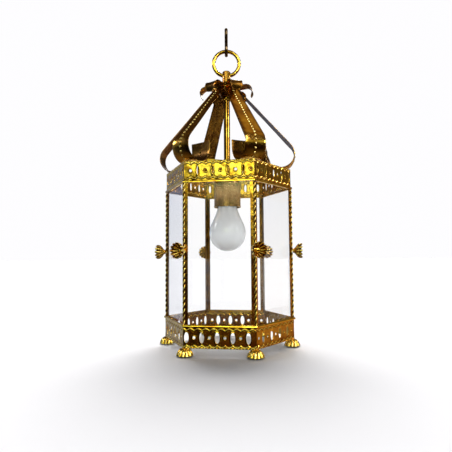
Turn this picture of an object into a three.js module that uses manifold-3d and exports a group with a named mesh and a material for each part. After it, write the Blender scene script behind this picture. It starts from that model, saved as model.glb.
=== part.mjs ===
// Hexagonal hanging lantern in pierced brass: a glazed six-sided cage under a crown of six bent
// straps, carried by a stem, a ferrule, a ring and an S-hook, with a screw-in lamp inside.
// Millimetres, +Z up. Heights are first counted from the bottom edge of the lower band; the whole
// lantern is then lowered so that the origin is the point where the hook's upper bend hangs.
import * as THREE from 'three';
import { mergeVertices } from 'three/addons/utils/BufferGeometryUtils.js';
import Module from 'manifold-3d';

const wasm = await Module();
wasm.setup();

// ---------------------------------------------------------------- driving dimensions
const CORNERS = 6;
const GAP = 0.3;                       // clearance between neighbouring pieces
const SHEET = 1.2;                     // brass sheet of the two bands

const CAGE_RADIUS = 105;               // corner radius of the six posts
const LOWER_RADIUS = 107;              // corner radius of the lower band
const UPPER_RADIUS = 105.5;            // corner radius of the upper band
const LOWER_TOP = 33.6;
const UPPER_BOTTOM = 241.8;
const UPPER_TOP = 274.4;

// The two kinds of long hole, with the height of their centres up the band as a share of it.
const OVAL = { width: 7, height: 15.5, share: 0.46 };
const SLOT = { width: 4.6, height: 14, share: 0.56 };
const DOT_RADIUS = 2.4;
const HOLE_WEB = 0.5;                  // least metal between a hole and the end of a side
const PITCH = 22.6;                    // from one oval to the next along a band
const LOWER_FIRST_OVAL = [5.1, 17.6, 5.1, 17.6, 5.1, 17.6];
const UPPER_FIRST_OVAL = [21.9, 8.6, 21.9, 8.6, 21.9, 8.6];
const RAIL_RADIUS = 1.3;               // rolled edge along the glass side of a band
const GLASS_TAB = { width: 6, reach: 3.6, thick: 0.8, spacing: 60 };

const POST = { leg: 6.2, thick: 1, bead: 1.9, beadCentre: 104.6 };
const GLASS = { thick: 2, halfWidth: 49.9, overlap: 4 };

const ROSETTE_HEIGHT = 141;
const ROSETTE_START = POST.beadCentre + POST.bead + GAP;
const FOOT_RADIUS = 103;               // distance of each foot from the lantern's axis

const STRAP = {
  thick: 0.9,
  endRadius: 66,                       // where the inner, upright end stands
  endTop: 311,
  curl: 23.5,                          // radius of the big curl above the band
  curlHeight: 298.2,                   // height of that curl's centre
  slope: 49.1,                         // steepness of the straight run to the hub
  run: 131,
  topWidth: 20,
  endWidth: 38,
  bend: 3.5,                           // tight bend where the strap turns over the hub
  shoulder: 9.5,                       // nearly level part between that bend and the scroll
  scroll: 9.5,                         // radius of the scroll
  tip: 5,
};

const STEM = { radius: 5.3, bore: 3.5, bottom: 260, top: 427.1, spigot: 4, spigotTop: 433.4 };
const HUB = { bottom: 402, top: 427.4 };
const FERRULE = { radius: 7, bottom: 427.7, top: 448 };

const RING = { radius: 21.9, wire: 3.2, height: 462.4, yaw: 8.13 };
const HOOK = { wire: 2.75, bend: 8.25, top: 525 };
const HANG_HEIGHT = HOOK.top - 2 * HOOK.wire;

const HOLDER = { radius: 22, wall: 1, bottom: 214, collar: 249.2 };
const LAMP = { radius: 30.2, centre: 171.3, capBottom: 222.5, capTop: 242.3 };

// ---------------------------------------------------------------- finishes
function finish(colour, roughness, metalness) {
  return new THREE.MeshStandardMaterial({ color: colour, roughness, metalness });
}
const polishedBrass = () => finish(0xd9a520, 0.18, 1);
const agedBrass = () => finish(0x8a7640, 0.4, 1);
const bronze = () => finish(0x3b2a1c, 0.5, 1);
const clearGlass = () => new THREE.MeshStandardMaterial({
  color: 0xf2f6f8, roughness: 0.05, metalness: 0, transparent: true, opacity: 0.25,
});
const opalGlass = () => finish(0xe8ecec, 0.15, 0);
const ceramic = () => finish(0xe9e4d8, 0.5, 0);
const nickel = () => finish(0xb9b9b4, 0.3, 1);
const blackGlass = () => finish(0x15151a, 0.3, 0);

// ---------------------------------------------------------------- geometry helpers
function toManifold(geometry) {
  const bare = geometry.clone();
  bare.deleteAttribute('normal');
  bare.deleteAttribute('uv');
  const merged = mergeVertices(bare, 1e-4);
  return new wasm.Manifold(new wasm.Mesh({
    numProp: 3,
    vertProperties: new Float32Array(merged.attributes.position.array),
    triVerts: new Uint32Array(merged.index.array),
  }));
}

function toGeometry(solid) {
  const mesh = solid.getMesh();
  const geometry = new THREE.BufferGeometry();
  geometry.setAttribute('position', new THREE.BufferAttribute(mesh.vertProperties, 3));
  geometry.setIndex(new THREE.BufferAttribute(mesh.triVerts, 1));
  geometry.computeVertexNormals();
  return geometry;
}

// A solid of revolution about Z from [radius, height] points.
function turned(points, segments) {
  const profile = points.map(([radius, height]) => new THREE.Vector2(radius, height));
  return new THREE.LatheGeometry(profile, segments).rotateX(Math.PI / 2);
}

// A turned tube: its profile closes on itself instead of reaching the axis.
function turnedTube(points, segments) {
  return turned([...points, points[0]], segments);
}

// Cuts a round upright hole on the axis through a solid.
function bored(geometry, radius, from, to) {
  const drill = turned([[0, from - 1], [radius, from - 1], [radius, to + 1], [0, to + 1]], 20);
  return toGeometry(toManifold(geometry).subtract(toManifold(drill)));
}

function extruded(shape, depth, curveSegments = 6) {
  return new THREE.ExtrudeGeometry(shape, { depth, bevelEnabled: false, curveSegments });
}

// Walks a path of straight moves { ahead } and arcs { radius, turn }, turning left for a
// positive turn, and returns its points with their headings (radians) and run lengths.
function walk(start, headingDegrees, moves, stepDegrees) {
  const at = new THREE.Vector2(...start);
  let heading = THREE.MathUtils.degToRad(headingDegrees);
  let length = 0;
  const track = [{ point: at.clone(), heading, length }];
  for (const move of moves) {
    if (move.ahead) {
      at.add(new THREE.Vector2(Math.cos(heading), Math.sin(heading)).multiplyScalar(move.ahead));
      length += move.ahead;
      track.push({ point: at.clone(), heading, length });
      continue;
    }
    const steps = Math.ceil(Math.abs(move.turn) / stepDegrees);
    const turn = THREE.MathUtils.degToRad(move.turn / steps);
    const chord = 2 * move.radius * Math.sin(Math.abs(turn) / 2);
    for (let step = 0; step < steps; step += 1) {
      const along = heading + turn / 2;
      at.add(new THREE.Vector2(Math.cos(along), Math.sin(along)).multiplyScalar(chord));
      heading += turn;
      length += move.radius * Math.abs(turn);
      track.push({ point: at.clone(), heading, length });
    }
  }
  return track;
}

function cornerAngle(index) {
  return THREE.MathUtils.degToRad(-120 + 60 * index);
}

function faceAngle(index) {
  return THREE.MathUtils.degToRad(-90 + 60 * index);
}

function apothem(radius) {
  return radius * Math.cos(Math.PI / CORNERS);
}

// ---------------------------------------------------------------- scene graph
const lantern = new THREE.Group();
lantern.position.z = -HANG_HEIGHT;

function place(parent, name, geometry, material) {
  const mesh = new THREE.Mesh(geometry, material);
  mesh.name = name;
  parent.add(mesh);
  return mesh;
}

// A group whose +X points from the axis to a corner, or squarely out through a face.
function turnedGroup(angle) {
  const group = new THREE.Group();
  group.rotation.z = angle;
  lantern.add(group);
  return group;
}

// ---------------------------------------------------------------- bands
// One pierced side of a band, flat in XY with its outer face up: x along the side, y up the band.
function piercedSheet(length, height, firstOval, opening) {
  const half = length / 2;
  const edge = half - SHEET * Math.tan(Math.PI / CORNERS) - GAP;
  const sheet = new THREE.Shape([
    new THREE.Vector2(-edge, 0), new THREE.Vector2(edge, 0),
    new THREE.Vector2(edge, height), new THREE.Vector2(-edge, height),
  ]);
  const middle = height * opening.share;
  const firstStep = -2 * Math.floor(firstOval / PITCH) - 1;
  for (let step = firstStep; step < 12; step += 1) {
    const isOval = step % 2 === 0;
    const x = firstOval + (step * PITCH) / 2 - half;
    const rx = isOval ? opening.width / 2 : DOT_RADIUS;
    const ry = isOval ? opening.height / 2 : DOT_RADIUS;
    if (Math.abs(x) + rx + HOLE_WEB > edge) continue;
    const hole = new THREE.Path();
    hole.absellipse(x, middle, rx, ry, 0, Math.PI * 2, true);
    sheet.holes.push(new THREE.Path(hole.getPoints(isOval ? 5 : 3).slice(0, -1)));
  }
  return { geometry: extruded(sheet, SHEET), edge };
}

// The rolled edge: a round bar along the side, flush with the sheet inside and proud outside.
function rolledEdge(edge, height) {
  return new THREE.CylinderGeometry(RAIL_RADIUS, RAIL_RADIUS, 2 * edge, 8)
    .rotateZ(Math.PI / 2)
    .translate(0, height, RAIL_RADIUS + 0.05);
}

function bandPanel(radius, height, firstOval, opening, glassSide, tabs) {
  const { geometry, edge } = piercedSheet(radius, height, firstOval, opening);
  const railHeight = glassSide === 'top' ? height - RAIL_RADIUS : RAIL_RADIUS;
  let panel = toManifold(geometry).add(toManifold(rolledEdge(edge, railHeight)));
  if (tabs) {
    for (const side of [-1, 1]) {
      const tab = new THREE.BoxGeometry(GLASS_TAB.width, GLASS_TAB.thick, GLASS_TAB.reach + SHEET / 2)
        .translate(side * GLASS_TAB.spacing / 2, height - GLASS.overlap - GAP - GLASS_TAB.thick / 2,
          SHEET / 2 - (GLASS_TAB.reach + SHEET / 2) / 2);
      panel = panel.add(toManifold(tab));
    }
  }
  // stand it up with the outer face towards +X
  return toGeometry(panel).rotateX(Math.PI / 2).rotateZ(Math.PI / 2);
}

function addBands() {
  for (let face = 0; face < CORNERS; face += 1) {
    const side = turnedGroup(faceAngle(face));
    const lower = place(side, `lower_band_${face + 1}`,
      bandPanel(LOWER_RADIUS, LOWER_TOP, LOWER_FIRST_OVAL[face], OVAL, 'top', true), polishedBrass());
    lower.position.x = apothem(LOWER_RADIUS) - SHEET;
    const upper = place(side, `upper_band_${face + 1}`,
      bandPanel(UPPER_RADIUS, UPPER_TOP - UPPER_BOTTOM, UPPER_FIRST_OVAL[face], SLOT, 'bottom', false),
      polishedBrass());
    upper.position.set(apothem(UPPER_RADIUS) - SHEET, 0, UPPER_BOTTOM);
  }
}

// ---------------------------------------------------------------- posts and glass
// Section of a corner post in the corner's frame: two legs at 120 degrees and a round ridge bead.
function postSection() {
  const along = new THREE.Vector2(-Math.sin(Math.PI / CORNERS), Math.cos(Math.PI / CORNERS));
  const inward = new THREE.Vector2(-along.y, along.x);
  const ridge = new THREE.Vector2(CAGE_RADIUS, 0);
  const tip = ridge.clone().addScaledVector(along, POST.leg);
  const tipInside = tip.clone().addScaledVector(inward, POST.thick);
  const insideCorner = CAGE_RADIUS - POST.thick / Math.cos(Math.PI / CORNERS);
  const section = new THREE.Shape();
  section.moveTo(insideCorner, 0);
  section.lineTo(tipInside.x, -tipInside.y);
  section.lineTo(tip.x, -tip.y);
  const reach = THREE.MathUtils.degToRad(109);
  section.absarc(POST.beadCentre, 0, POST.bead, -reach, reach, false);
  section.lineTo(tip.x, tip.y);
  section.lineTo(tipInside.x, tipInside.y);
  return section;
}

function addPostsAndGlass() {
  const postBottom = LOWER_TOP + GAP;
  const postTop = UPPER_BOTTOM - GAP;
  const glassBottom = LOWER_TOP - GLASS.overlap;
  const glassHeight = UPPER_BOTTOM + GLASS.overlap - glassBottom;
  const glassOuter = apothem(CAGE_RADIUS) - POST.thick - GAP;
  for (let index = 0; index < CORNERS; index += 1) {
    const post = place(turnedGroup(cornerAngle(index)), `corner_post_${index + 1}`,
      extruded(postSection(), postTop - postBottom), polishedBrass());
    post.position.z = postBottom;
    const pane = place(turnedGroup(faceAngle(index)), `glass_pane_${index + 1}`,
      new THREE.BoxGeometry(GLASS.thick, 2 * GLASS.halfWidth, glassHeight), clearGlass());
    pane.position.set(glassOuter - GLASS.thick / 2, 0, glassBottom + glassHeight / 2);
  }
}

// ---------------------------------------------------------------- rosettes and feet
const CUP_SEGMENTS = 16;

// A flaring cup pointing along +Z: closed neck at the bottom, open mouth at the top.
function rosetteCup() {
  return turned([
    [0, 0], [3.2, 0], [3.3, 2.5], [5.4, 6], [9.2, 10.4], [11.9, 13.4], [11.6, 15.8],
    [10.6, 15.8], [10.6, 13.6], [8.2, 11.2], [4.6, 7.4], [0, 6.6],
  ], CUP_SEGMENTS);
}

// A bell standing mouth down, its flat crown at height 0.
function footBell() {
  return turned([
    [0, -2.6], [5, -3.2], [8.3, -6], [10.2, -8.8], [10.9, -10.4],
    [12.1, -10.4], [11.2, -7.4], [9.4, -3.8], [6.6, -0.9], [4.4, 0], [0, 0],
  ], CUP_SEGMENTS);
}

function addRosettesAndFeet() {
  for (let index = 0; index < CORNERS; index += 1) {
    const corner = turnedGroup(cornerAngle(index));
    const rosette = place(corner, `rosette_${index + 1}`, rosetteCup(), polishedBrass());
    rosette.rotation.y = Math.PI / 2;
    rosette.position.set(ROSETTE_START, 0, ROSETTE_HEIGHT);
    const foot = place(corner, `foot_${index + 1}`, footBell(), polishedBrass());
    foot.position.set(FOOT_RADIUS, 0, -GAP);
  }
}

// ---------------------------------------------------------------- crown straps
// A strap is bent in the upright plane through its corner: from the upright inner end down and
// around the big curl, straight up to the hub, over a tight bend and out into a small scroll.
function strapTrack() {
  return walk([STRAP.endRadius, STRAP.endTop], -90, [
    { ahead: STRAP.endTop - STRAP.curlHeight },
    { radius: STRAP.curl, turn: 90 + 180 - STRAP.slope },
    { ahead: STRAP.run },
    { radius: STRAP.bend, turn: -125 },
    { ahead: STRAP.shoulder },
    { radius: STRAP.scroll, turn: -115 },
    { ahead: STRAP.tip },
  ], 20);
}

function crownStrap() {
  const track = strapTrack();
  const total = track.at(-1).length;
  const edge = (side) => track.map(({ point, heading, length }) => {
    const normal = new THREE.Vector2(-Math.sin(heading), Math.cos(heading));
    const width = THREE.MathUtils.lerp(STRAP.endWidth, STRAP.topWidth, length / total);
    return { corner: point.clone().addScaledVector(normal, (side * STRAP.thick) / 2), width };
  });
  const outline = [...edge(-1), ...edge(1).reverse()];
  const geometry = extruded(new THREE.Shape(outline.map(({ corner }) => corner)), 1)
    .translate(0, 0, -0.5);
  // the strip tapers: every vertex takes the width of the outline corner it came from
  const position = geometry.attributes.position;
  for (let i = 0; i < position.count; i += 1) {
    const vertex = new THREE.Vector2(position.getX(i), position.getY(i));
    const nearest = outline.reduce((best, candidate) => (
      candidate.corner.distanceToSquared(vertex) < best.corner.distanceToSquared(vertex)
        ? candidate : best));
    position.setZ(i, position.getZ(i) * nearest.width);
  }
  geometry.computeVertexNormals();
  return geometry.rotateX(Math.PI / 2);
}

function addStraps() {
  for (let index = 0; index < CORNERS; index += 1) {
    place(turnedGroup(cornerAngle(index)), `crown_strap_${index + 1}`, crownStrap(), polishedBrass());
  }
}

// ---------------------------------------------------------------- stem, hub and ferrule
function stemTube() {
  return turnedTube([
    [STEM.bore, STEM.bottom], [STEM.radius, STEM.bottom], [STEM.radius, STEM.top],
    [STEM.spigot, STEM.top], [STEM.spigot, STEM.spigotTop], [STEM.bore - 1, STEM.spigotTop],
    [STEM.bore - 1, STEM.top], [STEM.bore, STEM.top],
  ], 20);
}

// Six-sided boss with a flat for each strap's upper bend.
function crownHub() {
  const boss = turned([
    [0, HUB.bottom], [9, HUB.bottom], [11, 407], [16, 413],
    [20.4, 414.5], [20.4, 420], [12, HUB.top], [0, HUB.top],
  ], CORNERS);
  return bored(boss, STEM.radius + GAP, HUB.bottom, HUB.top);
}

function stemCollar() {
  const bore = STEM.radius + GAP;
  return turnedTube([[bore, 397.5], [7.6, 397.5], [8.2, 399.5], [7.6, 401.7], [bore, 401.7]], 20);
}

function stemNut() {
  const nut = turned([[0, 262], [9.2, 262], [9.2, 267], [0, 267]], CORNERS);
  return bored(nut, STEM.radius + GAP, 262, 267);
}

// The ring's wire curves through the ferrule, so the cross bore widens towards both mouths.
function ringFerrule() {
  const body = turned([
    [0, FERRULE.bottom], [FERRULE.radius, FERRULE.bottom], [FERRULE.radius, 446.6],
    [FERRULE.radius - 1.2, FERRULE.top], [0, FERRULE.top],
  ], 24);
  const socket = turned([
    [0, FERRULE.bottom - 1], [STEM.spigot + GAP, FERRULE.bottom - 1],
    [STEM.spigot + GAP, 434], [0, 434],
  ], 20);
  const boreRadius = (x) => RING.wire + 0.35 + RING.radius - Math.sqrt(RING.radius ** 2 - x ** 2);
  const reach = [-9, -6, -3, 0, 3, 6, 9];
  const crossBore = turned([
    [0, -9], ...reach.map((x) => [boreRadius(x), x]), [0, 9],
  ], 16).rotateY(Math.PI / 2).translate(0, 0, RING.height - RING.radius);
  return toGeometry(toManifold(body).subtract(toManifold(socket)).subtract(toManifold(crossBore)));
}

// ---------------------------------------------------------------- ring and hook
function hangingRing() {
  return new THREE.TorusGeometry(RING.radius, RING.wire, 10, 40).rotateX(Math.PI / 2);
}

// An S-hook in the plane at right angles to the ring: x is depth and y is height while it is
// drawn. The lower bend passes under the ring's wire and the upper one hooks over a support.
function hangingHook() {
  const lowest = RING.height + RING.radius - RING.wire - GAP - HOOK.wire;
  const lowerCentre = lowest + HOOK.bend;
  const upperCentre = HOOK.top - HOOK.wire - HOOK.bend;
  const spread = upperCentre - lowerCentre;
  const lean = THREE.MathUtils.radToDeg(Math.asin((2 * HOOK.bend) / spread));
  const shank = Math.sqrt(spread ** 2 - (2 * HOOK.bend) ** 2);
  const tip = 3;
  const track = walk([-HOOK.bend, lowerCentre + tip], -90, [
    { ahead: tip },
    { radius: HOOK.bend, turn: 180 + lean },
    { ahead: shank },
    { radius: HOOK.bend, turn: -180 - lean },
    { ahead: tip },
  ], 18);
  const points = track.map(({ point }) => new THREE.Vector3(0, point.x, point.y));
  const route = new THREE.CatmullRomCurve3(points, false, 'centripetal');
  const section = new THREE.Shape(new THREE.Path().absarc(0, 0, HOOK.wire, 0, Math.PI * 2)
    .getPoints(4).slice(0, -1));
  return new THREE.ExtrudeGeometry(section, { extrudePath: route, steps: 36, bevelEnabled: false });
}

function addSuspension() {
  place(lantern, 'stem_tube', stemTube(), polishedBrass());
  place(lantern, 'crown_hub', crownHub(), agedBrass());
  place(lantern, 'stem_collar', stemCollar(), polishedBrass());
  place(lantern, 'stem_nut', stemNut(), agedBrass());
  const yawed = turnedGroup(THREE.MathUtils.degToRad(RING.yaw));
  place(yawed, 'ring_ferrule', ringFerrule(), polishedBrass());
  place(yawed, 'hanging_ring', hangingRing(), polishedBrass()).position.z = RING.height;
  place(yawed, 'hanging_hook', hangingHook(), bronze());
}

// ---------------------------------------------------------------- lamp holder and lamp
function holderDome() {
  const { radius, collar } = HOLDER;
  const bore = STEM.radius + GAP;
  return turnedTube([
    [radius + 0.7, collar], [radius + 0.7, collar + 6.3], [radius - 0.6, collar + 7],
    [19, 263.5], [13, 269.5], [8, 272.5], [bore, 272.5],
    [bore, 271.2], [8, 271.2], [12.4, 268.2], [18, 262.4], [20.6, 255.5], [radius - 1, collar],
  ], 24);
}

function holderSkirt() {
  const { radius, wall, bottom, collar } = HOLDER;
  return turnedTube([
    [radius - wall, bottom], [radius + 0.5, bottom], [radius + 0.5, bottom + 1.6],
    [radius, bottom + 2.4], [radius, collar - GAP], [radius - wall, collar - GAP],
  ], 24);
}

function holderInsert() {
  return turned([[0, 251], [15.2, 251], [15.2, 234], [20, 234], [20, 254.5], [18, 257.5], [0, 257.5]], 20);
}

function screwShell() {
  return turnedTube([[13.8, 222], [14.4, 222], [14.4, 250.7], [8, 250.7], [8, 250.1], [13.8, 250.1]], 24);
}

function lampGlass() {
  const { radius, centre } = LAMP;
  const wall = 0.9;
  const bowl = (size) => {
    const points = [];
    for (let angle = 0; angle <= 90; angle += 15) {
      const bend = THREE.MathUtils.degToRad(angle);
      points.push([size * Math.sin(bend), centre - size * Math.cos(bend)]);
    }
    return points;
  };
  const neck = [[29.3, 179], [26.4, 189], [21.8, 200], [17.6, 212], [14.6, 219], [12.2, 222.8], [12.2, 230]];
  const inside = [...bowl(radius - wall), ...neck.map(([r, z]) => [r - wall, z])].reverse();
  return turned([...bowl(radius), ...neck, ...inside], 18);
}

function lampCap() {
  const { capBottom, capTop } = LAMP;
  return turnedTube([
    [12.5, capBottom], [13.1, capBottom], [13.1, capTop - 2], [9.4, capTop],
    [6, capTop], [6, capTop - 0.7], [9, capTop - 0.7], [12.5, capTop - 2.4],
  ], 24);
}

function lampInsulator() {
  return turned([[0, LAMP.capTop + GAP], [9, LAMP.capTop + GAP], [5.6, 245.4], [0, 245.4]], 20);
}

function lampContact() {
  return turned([[0, 245.7], [4.8, 245.7], [4.8, 247], [3, 248.6], [0, 248.8]], 16);
}

function addLamp() {
  place(lantern, 'holder_dome', holderDome(), agedBrass());
  place(lantern, 'holder_skirt', holderSkirt(), agedBrass());
  place(lantern, 'holder_insert', holderInsert(), ceramic());
  place(lantern, 'screw_shell', screwShell(), nickel());
  place(lantern, 'centre_contact', new THREE.BoxGeometry(14, 5, 0.6), agedBrass()).position.z = 249.5;
  place(lantern, 'lamp_glass', lampGlass(), opalGlass());
  place(lantern, 'lamp_cap', lampCap(), nickel());
  place(lantern, 'lamp_insulator', lampInsulator(), blackGlass());
  place(lantern, 'lamp_contact', lampContact(), agedBrass());
}

addBands();
addPostsAndGlass();
addRosettesAndFeet();
addStraps();
addSuspension();
addLamp();

export default lantern;
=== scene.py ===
import math

import bmesh
import bpy
import numpy as np
from mathutils import Matrix, Vector


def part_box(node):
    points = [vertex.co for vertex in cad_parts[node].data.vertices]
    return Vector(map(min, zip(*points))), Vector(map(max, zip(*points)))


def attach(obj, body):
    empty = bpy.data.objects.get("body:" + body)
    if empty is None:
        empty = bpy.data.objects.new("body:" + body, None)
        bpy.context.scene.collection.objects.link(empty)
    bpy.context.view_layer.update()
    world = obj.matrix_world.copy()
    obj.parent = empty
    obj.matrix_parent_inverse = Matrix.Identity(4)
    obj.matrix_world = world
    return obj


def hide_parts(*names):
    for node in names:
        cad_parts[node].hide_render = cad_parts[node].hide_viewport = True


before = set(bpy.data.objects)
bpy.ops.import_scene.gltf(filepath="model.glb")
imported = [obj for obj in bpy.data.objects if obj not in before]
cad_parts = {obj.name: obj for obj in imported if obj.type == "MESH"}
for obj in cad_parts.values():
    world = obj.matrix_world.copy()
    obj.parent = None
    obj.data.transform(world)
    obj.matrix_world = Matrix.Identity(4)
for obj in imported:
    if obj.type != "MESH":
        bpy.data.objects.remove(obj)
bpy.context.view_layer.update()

# ------------------------------------------------------------------ dimensions, millimetres
SIDES = 6
LOWER_RADIUS = 107.0          # corner radius of the lower band
UPPER_RADIUS = 105.5
CAGE_RADIUS = 105.0           # corner radius of the posts
PITCH = 22.6                  # from one oval to the next along a band
OVAL = (3.5, 7.75)            # half width and half height of the lower band's ovals
SLOT = (2.1, 7.0)             # the same for the upper band's slots
DOT = (2.2, 2.2)              # the round holes between them
LOWER_FIRST = (5.1, 17.6) * 3     # from each side's left corner to its first oval
UPPER_FIRST = (21.9, 8.6) * 3
SHEET = 0.8                   # wall of the bands and straps
CUP_WALL = 0.6                # wall of a rosette
BELL_WALL = 0.7               # wall of a foot

STRAP_TOP_WIDTH = 20.0
STRAP_END_WIDTH = 38.0
STRAP_SLOPE = 49.1            # rise of the straight run above level, degrees
STRAP_CURL = 23.5             # radius of the lower curl
STRAP_RUN = 131.0             # length of the straight run
STRAP_START = 66.0            # from the axis to the curl's free end
SCROLL_BEND, SCROLL_CURL = 3.5, 9.5   # radii of the scroll at the top
BEAD_PITCH = 6.7
BEAD_RADIUS = 1.35
BEAD_HEIGHT = 1.2
POST_REACH = 6.1              # from a post's ridge to the edge of its angle strip
POST_WALL = 1.0
ROPE_PITCH = 8.4              # lobe to lobe along a post's twisted ridge
ROPE_RADIUS = 1.45
PETALS = 12
RING_YAW = 8.13               # turn of the ring and hook about Z, degrees
RING_WIRE = 3.05
RING_CAD_WIRE = 3.2           # wire radius of the CAD ring
HOOK_WIRE = 2.75
HOOK_BEND = 8.25
LAMP_RADIUS = 30.2
LAMP_WALL = 0.9
THREAD_PITCH = 3.62
WELD = 1e-6                   # metres


def mm(node):
    """Lowest and highest corner of a CAD node in millimetres."""
    low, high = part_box(node)
    return np.array(low) * 1000, np.array(high) * 1000


def heights(node):
    """Lowest and highest Z of a CAD node in millimetres."""
    low, high = mm(node)
    return low[2], high[2]


BASE, LOWER_TOP = heights("lower_band_1")
LOWER_HEIGHT = LOWER_TOP - BASE
UPPER_BASE, UPPER_TOP = heights("upper_band_1")
UPPER_HEIGHT = UPPER_TOP - UPPER_BASE


# ------------------------------------------------------------------ mesh helpers
def make(name, vertices, faces, material, slot, body="lantern", replaces=(), sharp=35):
    """One visible piece from points in millimetres, riding on a CAD body."""
    mesh = bpy.data.meshes.new(name)
    mesh.from_pydata((np.asarray(vertices, float) / 1000).tolist(), [], faces)
    mesh.validate()
    piece = bpy.data.objects.new(name, mesh)
    bpy.context.scene.collection.objects.link(piece)
    tidy = bmesh.new()
    tidy.from_mesh(mesh)
    bmesh.ops.remove_doubles(tidy, verts=tidy.verts, dist=WELD)
    bmesh.ops.recalc_face_normals(tidy, faces=tidy.faces)
    tidy.to_mesh(mesh)
    tidy.free()
    mesh.shade_smooth()
    mesh.set_sharp_from_angle(angle=math.radians(sharp))
    mesh.materials.append(material)
    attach(piece, body)
    if replaces:
        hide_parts(*replaces)
    return piece


def bevel(piece, width, segments=2, angle=35):
    """Eases the edges sharper than an angle in degrees."""
    edge = piece.modifiers.new("edges", "BEVEL")
    edge.width = width / 1000
    edge.segments = segments
    edge.limit_method = "ANGLE"
    edge.angle_limit = math.radians(angle)
    edge.harden_normals = True


def thicken(piece, thickness, offset=-1.0, lining=None):
    """Gives an open sheet its wall; lining is the material of its inner side."""
    wall = piece.modifiers.new("wall", "SOLIDIFY")
    wall.thickness = thickness / 1000
    wall.offset = offset
    if lining:
        piece.data.materials.append(lining)
        wall.material_offset = 1


def face_away(piece, inner):
    """Turns an open sheet's faces away from a point inside it, in millimetres."""
    inner = Vector(inner) / 1000
    if sum(f.normal.dot(f.center - inner) * f.area for f in piece.data.polygons) < 0:
        piece.data.flip_normals()


def worked(piece, reliefs):
    """Stores how high each point stands in the relief, for the tarnish, and for the wear and painted
    highlight.
    """
    attribute = piece.data.attributes.new("relief", "FLOAT", "POINT")
    attribute.data.foreach_set("value", np.asarray(reliefs, np.float32))


def surface(node_name, material, width, segments=2, angle=35):
    """Gives a CAD solid its material and eased edges."""
    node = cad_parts[node_name]
    node.data.materials.clear()
    node.data.materials.append(material)
    bevel(node, width, segments, angle)


def grid_faces(rows, columns, start=0, wrap=False):
    """Quads over a rows by columns grid of points, row after row."""
    faces = []
    for i in range(rows - 1):
        for j in range(columns if wrap else columns - 1):
            k = (j + 1) % columns
            a = start + i * columns
            b = a + columns
            faces.append((a + j, a + k, b + k, b + j))
    return faces


def loft(rings, caps=True, loop=False):
    """A closed-section body through rings of points, shape (rings, points, 3)."""
    rings = np.asarray(rings, float)
    count, around = rings.shape[:2]
    faces = grid_faces(count, around, wrap=True)
    if loop:
        last = (count - 1) * around
        for j in range(around):
            k = (j + 1) % around
            faces.append((last + j, last + k, k, j))
    elif caps:
        faces.append(tuple(range(around))[::-1])
        faces.append(tuple((count - 1) * around + j for j in range(around)))
    return rings.reshape(-1, 3), faces


def joined(*bodies):
    """Several (vertices, faces) bodies as one."""
    vertices, faces, start = [], [], 0
    for points, quads in bodies:
        vertices.append(np.asarray(points, float))
        faces += [tuple(start + i for i in f) for f in quads]
        start += len(points)
    return np.vstack(vertices), faces


def turned(profile, segments=72, closed=False):
    """A body of revolution about Z from (radius, height) points."""
    points = list(profile)
    if closed:
        points.append(points[0])
    angles = np.arange(segments) * 2 * math.pi / segments
    rings = [[(r * math.cos(a), r * math.sin(a), z) for a in angles] for r, z in points]
    return loft(rings, caps=False)


def rounded(points, steps=5, share=0.35):
    """A profile with its inner corners eased into short curves."""
    points = [np.array(p, float) for p in points]
    out = [points[0]]
    for before, at, after in zip(points, points[1:], points[2:]):
        a = at + (before - at) * share
        b = at + (after - at) * share
        for t in np.linspace(0, 1, steps):
            out.append((1 - t) ** 2 * a + 2 * t * (1 - t) * at + t * t * b)
    out.append(points[-1])
    return [tuple(p) for p in out]


def tube(path, radii, around):
    """A round bar along a path of points, with a radius at each point."""
    path = np.asarray(path, float)
    tangents = np.gradient(path, axis=0)
    tangents /= np.linalg.norm(tangents, axis=1)[:, None]
    side = np.cross(tangents[0], (0.31, 0.2, 0.93))
    rings = []
    angles = np.arange(around) * 2 * math.pi / around
    for point, tangent, radius in zip(path, tangents, radii):
        side = side - tangent * side.dot(tangent)
        side /= np.linalg.norm(side)
        up = np.cross(tangent, side)
        rings.append([point + radius * (math.cos(a) * side + math.sin(a) * up) for a in angles])
    return loft(rings)


def spun(vertices, angle):
    """Points turned about Z by an angle in degrees."""
    c, s = math.cos(math.radians(angle)), math.sin(math.radians(angle))
    return np.asarray(vertices, float) @ np.array([[c, s, 0], [-s, c, 0], [0, 0, 1]])


def corner_angle(index):
    """Direction of a corner about Z, degrees."""
    return -120 + 60 * index


def face_angle(index):
    """Direction of a side's outward normal about Z, degrees."""
    return -90 + 60 * index


def apothem(radius):
    """From the axis to the middle of a side, for a corner radius."""
    return radius * math.cos(math.pi / SIDES)


def ripple(x, y, z, size):
    """Smooth seedless unevenness between -1 and 1, with features about size mm wide."""
    k = 2 * math.pi / size
    return (np.sin(k * x + 1.3 * np.sin(0.63 * k * y)) * np.cos(0.81 * k * z + 0.7)
            + np.sin(0.57 * k * (x + y + z) + 2.1)) / 2


# ------------------------------------------------------------------ materials
def new_material(name):
    """A node material with its nodes, links and Principled shader."""
    material = bpy.data.materials.new(name)
    material.use_nodes = True
    nodes, links = material.node_tree.nodes, material.node_tree.links
    return material, nodes, links, nodes["Principled BSDF"]


def ramp(nodes, stops):
    """A colour ramp from (place, colour or grey) stops."""
    node = nodes.new("ShaderNodeValToRGB")
    elements = node.color_ramp.elements
    while len(elements) < len(stops):
        elements.new(0.5)
    for element, (place, colour) in zip(elements, stops):
        element.position = place
        element.color = (*colour, 1) if np.ndim(colour) else (colour, colour, colour, 1)
    return node


def noise(nodes, links, coordinates, scale, detail=4.0, distortion=0.0):
    """The 0 to 1 value of a noise texture."""
    node = nodes.new("ShaderNodeTexNoise")
    node.inputs["Scale"].default_value = scale
    node.inputs["Detail"].default_value = detail
    node.inputs["Distortion"].default_value = distortion
    links.new(coordinates, node.inputs["Vector"])
    return node.outputs["Fac"]


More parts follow.
